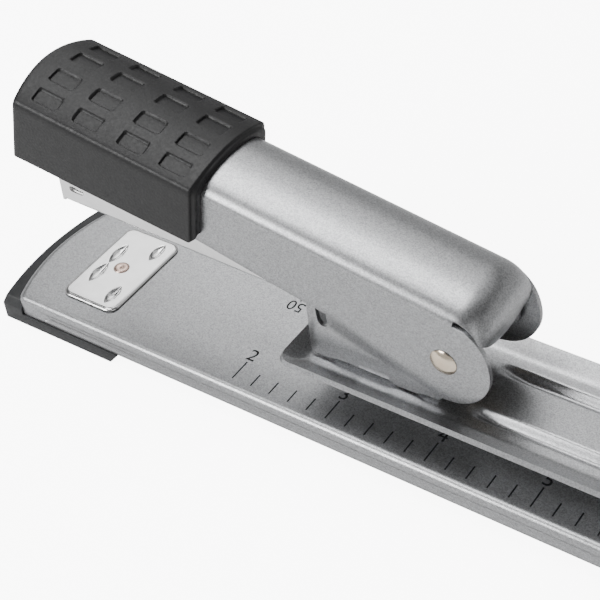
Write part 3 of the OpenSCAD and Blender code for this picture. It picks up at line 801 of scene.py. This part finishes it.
def shell_low(u):
    """Lower edge of the shell's side walls, tangent to the round ear."""
    tangent = math.radians(15.1)
    touch_u = -EAR_R * math.sin(tangent)
    touch_v = -EAR_R * math.cos(tangent)
    if u >= touch_u:
        return -math.sqrt(max(EAR_R ** 2 - u ** 2, 0))
    line = touch_v - math.tan(tangent) * (u - touch_u)
    front = interpolate(((SHELL_FRONT, -1.0), (-62.6, -2.0), (-41, -3.4), (-20, -4.4)), u)
    blend = 0.35
    return front - blend * math.log1p(math.exp(min((front - line) / blend, 60)))


def ear_radius(degrees):
    """Radius of the ear about the pivot, a little fuller towards its upper rear corner."""
    return EAR_R + 0.8 * smoothstep(degrees, 15, 73)


def roof_columns(count):
    """Angles across the arched roof, from the near crease to the far one."""
    return [math.pi * (1 - t) for t in steps(0, 1, count)]


def handle_shell():
    """Pressed handle: side walls, arched roof, round ears and a rear tongue parted from them by slits.

    walls counts the steps up each side wall, and arch those across the roof.
    """
    walls = 8
    arch = 56
    us = steps(SHELL_FRONT, -66, 12) + steps(-64, TONGUE_U, 43)
    rows = []
    for u in us:
        low = shell_low(u)
        side = [(u, -SHELL_HALF, v) for v in steps(low, CREASE_V, walls)]
        roof = [(u, SHELL_HALF * math.cos(a), CREASE_V + ROOF_RISE * math.sin(a))
                for a in roof_columns(arch)[1:-1]]
        rows.append(side + roof + [(u, -y, v) for u, y, v in reversed(side)])
    columns = len(rows[0])
    verts = [p for row in rows for p in row]
    faces = grid_faces(len(rows), columns)
    last_row = (len(rows) - 1) * columns
    add_ears(verts, faces, last_row, columns, walls)
    add_tongue(verts, faces, last_row, walls, arch)
    shell = make("shell", verts, faces, tilted(HANDLE_TILT))
    solidify(shell, SHEET)
    bevel(shell, 0.14, angle=60)
    return bake(shell, sharp=42)


def add_ears(verts, faces, last_row, columns, walls):
    """Round ends of the side walls, from the last full row to the rearmost point."""
    corner = math.degrees(math.atan2(CREASE_V, EAR_CORNER_U))
    top = [(TONGUE_U + (EAR_CORNER_U - TONGUE_U) * t, CREASE_V) for t in steps(0, 1, 3)]
    for degrees in steps(corner, 0, 15)[1:]:
        a = math.radians(degrees)
        top.append((ear_radius(degrees) * math.cos(a), ear_radius(degrees) * math.sin(a)))
    first = -math.degrees(math.acos(TONGUE_U / EAR_R))
    low = arc(0, 0, EAR_R, first, 0, len(top) - 1)
    for sign in (-1, 1):
        previous = [last_row + k for k in range(walls + 1)]
        if sign > 0:
            previous = [last_row + columns - 1 - k for k in range(walls + 1)]
        for (tu, tv), (bu, bv) in list(zip(top, low))[1:]:
            here = []
            for t in steps(0, 1, walls):
                here.append(len(verts))
                verts.append((bu + (tu - bu) * t, sign * SHELL_HALF, bv + (tv - bv) * t))
            for k in range(walls):
                quad = (previous[k], here[k], here[k + 1], previous[k + 1])
                faces.append(quad if sign < 0 else tuple(reversed(quad)))
            previous = here


def add_tongue(verts, faces, last_row, walls, arch):
    """The roof bent down at the rear, ending in a curved free edge."""
    bend_r = 7.5
    skip = 5
    angles = roof_columns(arch)
    chosen = range(skip, arch + 1 - skip)
    previous = [last_row + walls + k for k in chosen]
    points = []
    for k in chosen:
        y = SHELL_HALF * math.cos(angles[k])
        crown = CREASE_V + ROOF_RISE * math.sin(angles[k])
        end_v = 5.2 + 3.0 * (y / 9.5) ** 2
        drop = crown - end_v
        if drop < bend_r:
            turn = math.acos(1 - drop / bend_r)
            straight = 0.0
        else:
            turn = math.pi / 2
            straight = drop - bend_r
        points.append((y, crown, turn, straight))
    for share in steps(0, 1, 16)[1:]:
        here = []
        for y, crown, turn, straight in points:
            length = share * (bend_r * turn + straight)
            a = min(length / bend_r, turn)
            beyond = length - bend_r * a
            here.append(len(verts))
            verts.append((TONGUE_U + bend_r * math.sin(a), y, crown - bend_r * (1 - math.cos(a)) - beyond))
        for k in range(len(here) - 1):
            faces.append((previous[k], here[k], here[k + 1], previous[k + 1]))
        previous = here


# ---- cap ----


def cap_taper(u, ends):
    """A measure of the cap at u, from its values at the front and the rear."""
    return ends[0] + (ends[1] - ends[0]) * (u - CAP_FRONT) / (CAP_REAR - CAP_FRONT)


def cap_roof(u):
    """Flat arched top of the cap's cross-section, with a tight radius at both creases, as (y, v)."""
    fillet = 0.9
    crown = cap_taper(u, CAP_CROWN)
    roof = []
    for t in steps(-1, 1, CAP_ROOF_STEPS):
        y = CAP_HALF * t
        edge = CAP_HALF - abs(y)
        v = CAP_CREASE + (crown - CAP_CREASE) * (1 - t * t)
        if edge < fillet:
            v -= fillet - math.sqrt(fillet ** 2 - (fillet - edge) ** 2)
        roof.append((y, v))
    return roof


def pad_depth(u, y):
    """Depth of the recessed thumb pads at a point of the cap's top."""
    deepest, corner, half_l = 0.65, 0.7, 3.5
    for pad_u in PAD_U:
        for pad_y in PAD_Y:
            half_w = 2.0 if abs(pad_y) < 5 else 1.75
            dx = abs(u - pad_u) - half_l + corner
            dy = abs(y - pad_y) - half_w + corner
            outside = math.hypot(max(dx, 0), max(dy, 0)) + min(max(dx, dy), 0) - corner
            if outside < 0.02:
                return deepest * (1 - smoothstep(outside, -0.3, 0.02))
    return 0.0


def cap_bottom(u):
    """Lower edge of the cap's sides, with a rounded corner at the rear."""
    corner = 2.0
    edge = cap_taper(u, CAP_LOW)
    d = u - (CAP_REAR - corner)
    return edge if d <= 0 else edge + corner - math.sqrt(max(corner ** 2 - d ** 2, 0))


def cap_section(u, padded):
    """Outline across the cap from its lower near edge over the top to its lower far edge, as (y, v)."""
    roof = cap_roof(u)
    walls = [(-CAP_HALF, v) for v in steps(cap_bottom(u), roof[0][1], CAP_WALL_STEPS)][:-1]
    top = [(y, v - (pad_depth(u, y) if padded else 0)) for y, v in roof]
    return walls + top + [(-y, v) for y, v in reversed(walls)]


def shell_section(u):
    """Outline that lies on the handle shell, with as many points as the cap's own outline."""
    clear = 0.12
    half = SHELL_HALF + clear
    walls = [(-half, v) for v in steps(cap_bottom(u), CREASE_V, CAP_WALL_STEPS)][:-1]
    roof = [(half * t, CREASE_V + (ROOF_RISE + clear) * math.sqrt(max(1 - t * t, 0)))
            for t in steps(-1, 1, CAP_ROOF_STEPS)]
    return walls + roof + [(-y, v) for y, v in reversed(walls)]


def cap_front_row(u, inward, front):
    """One line across the cap's front.

    front = 1 leans and bows the line fully; inward draws it in from the outline, towards the lower edge.
    """
    upward = 1 - inward / CAP_HALF
    sideways = 1 - min(inward, 1 + 0.3 * inward) / CAP_HALF
    low, crown = CAP_LOW[0], CAP_CROWN[0]
    points = []
    for y, v in cap_section(u, front < 1):
        y, v = y * sideways, low + (v - low) * upward
        lean = CAP_LEAN * (v - low) / (crown - low)
        bow = CAP_BOW * (y / CAP_HALF) ** 2
        points.append((u + front * (lean + bow), y, v))
    return points


def cap_rear_row(u, share):
    """One line across the cap's rear edge, which closes onto the shell as share goes to 1."""
    return [(u, y + (sy - y) * share, v + (sv - v) * share)
            for (y, v), (sy, sv) in zip(cap_section(u, False), shell_section(u))]


def cap():
    """Moulded cap: recessed pads on top, a leaning bowed front and a stepped rear edge."""
    front_r = 1.0
    rows = [cap_front_row(CAP_FRONT, CAP_HALF * k, 1) for k in (0.97, 0.8, 0.6, 0.4, 0.2)]
    for a in steps(0, 90, 6):
        turn = math.radians(a)
        rows.append(cap_front_row(CAP_FRONT + front_r * (1 - math.cos(turn)),
                                  front_r * (1 - math.sin(turn)), 1))
    rows += [cap_front_row(u, 0, front) for u, front in
             ((-112.8, 0.93), (-112.0, 0.8), (-111.0, 0.6), (-110.0, 0.38), (-109.0, 0.17), (-108.4, 0.05))]
    rows += [cap_front_row(u, 0, 0) for u in steps(-108.0, -62.6, 190)]
    rows += [cap_rear_row(u, share) for u, share in
             ((-62.45, 0.01), (-62.3, 0.05), (-62.2, 0.13), (-62.1, 0.24), (-61.9, 0.29),
              (-61.5, 0.33), (-61.3, 0.41), (CAP_REAR, 0.55), (CAP_REAR, 0.8), (-61.25, 1.0))]
    shell = grid("cap", rows, tilted(HANDLE_TILT))
    solidify(shell, 1.5)
    return bake(shell, sharp=45)


# ---- coil springs ----


def coil_spring(node, body):
    """A copy of a rigid CAD node's coil spring in spring steel, on a body, in place of that node.
    """
    spring = bpy.data.objects.new(f"{node}_coil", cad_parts[node].data.copy())
    bpy.context.scene.collection.objects.link(spring)
    piece(bake(spring), body, "spring", "spring_steel", node)
    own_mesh(spring)


# ---- pieces on their bodies ----


def build_pieces():
    """Makes every detailed piece and the two coil springs, each on the CAD body that carries it."""
    piece(base_tray(), "base", "silver", "silver_paint", "base_plate")
    piece(foot("foot_front", False), "base", "gray", "gray_plastic", "front_foot")
    piece(foot("foot_rear", True), "base", "gray", "gray_plastic", "rear_foot")
    piece(scale_marks(), "base", "ink", "silver_paint")
    piece(scale_numbers(), "base", "ink", "silver_paint")
    piece(anvil_plate(), "anvil", "nickel", "nickel_plate", "anvil_plate")
    piece(anvil_rivet(), "anvil", "copper", "copper_plate", "anvil_rivet")
    piece(arm_sheet(), "arm", "silver", "silver_paint", "arm")
    piece(bracket(), "arm", "silver", "silver_paint", "head_bracket")
    piece(magazine_channel(), "magazine", "nickel", "nickel_plate", "magazine")
    piece(handle_shell(), "handle", "silver", "silver_paint", "handle_shell")
    piece(cap(), "handle", "cap_top", "black_plastic", "handle_cap")
    coil_spring("magazine_spring", "arm")
    coil_spring("pusher_spring", "magazine")


CAD_LOOKS = {
    "hinge_bracket": "silver",
    "hinge_rivets": "steel",
    "arm_hinge_pin": "steel",
    "arm_spring": "spring",
    "anvil_spring": "spring",
    "bracket_rivets": "steel",
    "pivot_rivet": "gold",
    "pivot_washers": "steel",
    "staple_rail": "nickel",
    "rail_rivets": "steel",
    "stop_studs": "steel",
    "pusher_rod": "steel",
    "staple_strip": "wire",
    "pusher": "black",
    "cap_screw": "steel",
    "driver_blade": "steel",
    "driver_rivet": "steel",
    "handle_spring": "spring",
    "spring_rivet": "steel",
}


def dress_cad_nodes():
    """Gives each CAD node that stays in view its material and slightly rounded edges."""
    for node, look in CAD_LOOKS.items():
        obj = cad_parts[node]
        obj.data.materials.clear()
        obj.data.materials.append(MATERIALS[look])
        weld = obj.modifiers.new("weld", "WELD")
        weld.merge_threshold = 0.002 * MM
        bevel(obj, 0.06)


# ---- studio ----


def area_light(name, place, aim, size, power):
    """A square soft box; place, aim and size in metres, power in watts."""
    light = bpy.data.lights.new(name, "AREA")
    light.shape = "SQUARE"
    light.size = size
    light.energy = power
    obj = bpy.data.objects.new(name, light)
    obj.location = place
    obj.rotation_euler = (Vector(aim) - Vector(place)).to_track_quat("-Z", "Y").to_euler()
    bpy.context.scene.collection.objects.link(obj)


def studio():
    """White sweep, pale walls, a dim ceiling and large soft boxes overhead, in front and behind."""
    world = bpy.data.worlds.new("studio")
    bpy.context.scene.world = world
    world.use_nodes = True
    tree = world.node_tree
    wall_top, ceiling_start = 0.3, 0.55
    wall_light, ceiling_light = 0.55, 0.08
    height = tree.nodes.new("ShaderNodeSeparateXYZ")
    walls = tree.nodes.new("ShaderNodeMapRange")
    walls.inputs["From Min"].default_value = wall_top
    walls.inputs["From Max"].default_value = ceiling_start
    walls.inputs["To Min"].default_value = wall_light
    walls.inputs["To Max"].default_value = ceiling_light
    place = tree.nodes.new("ShaderNodeTexCoord")
    tree.links.new(place.outputs["Generated"], height.inputs["Vector"])
    tree.links.new(height.outputs["Z"], walls.inputs["Value"])
    tree.links.new(walls.outputs["Result"], tree.nodes["Background"].inputs["Strength"])
    tree.nodes["Background"].inputs["Color"].default_value = (1, 1, 1, 1)
    reach, below = 6000, -0.05
    floor = grid("floor", [[(x, y, below) for y in (-reach, reach)] for x in (-reach, reach)])
    floor.data.materials.append(ground())
    middle = (0.09, 0, 0.03)
    area_light("back", (-0.2, 0.6, 0.8), middle, 0.5, 1.2)
    area_light("key", (-0.17, 0.08, 0.95), middle, 0.6, 7)
    area_light("glint", (-0.2, 0.23, 0.28), (0, 0, 0.01), 0.14, 0.14)
    area_light("front", (-0.40, -0.72, 0.60), middle, 0.45, 8.5)
    area_light("top", (0.3, 0.5, 0.95), middle, 0.7, 1)
    area_light("right", (0.9, -0.5, 0.5), middle, 0.6, 1)


def camera():
    """The product photographer's view: near side, from the front left, looking down.

    shift is the camera's place in its own axes, in millimetres from the base's top at the staple line.
    """
    focal_px, image_px = 1613.76, 600
    azimuth, elevation, roll = math.radians(-50.81), math.radians(42.09), math.radians(-7.17)
    shift = Vector((47.61, -8.80, 400.28))
    level = math.cos(elevation)
    back = Vector((level * math.cos(azimuth), level * math.sin(azimuth), math.sin(elevation)))
    right = Vector((0, 0, 1)).cross(back).normalized()
    up = back.cross(right)
    right, up = (right * math.cos(roll) + up * math.sin(roll),
                 up * math.cos(roll) - right * math.sin(roll))
    turn = Matrix((right, up, back)).transposed()
    data = bpy.data.cameras.new("camera")
    data.sensor_width = 36
    data.lens = 36 * focal_px / image_px
    data.clip_start = 0.01
    data.clip_end = 20
    obj = bpy.data.objects.new("camera", data)
    place = turn @ shift + Vector((0, 0, BASE_TOP))
    obj.matrix_world = Matrix.Translation(place * MM) @ turn.to_4x4()
    bpy.context.scene.collection.objects.link(obj)
    bpy.context.scene.camera = obj


build_pieces()
dress_cad_nodes()
studio()
camera()
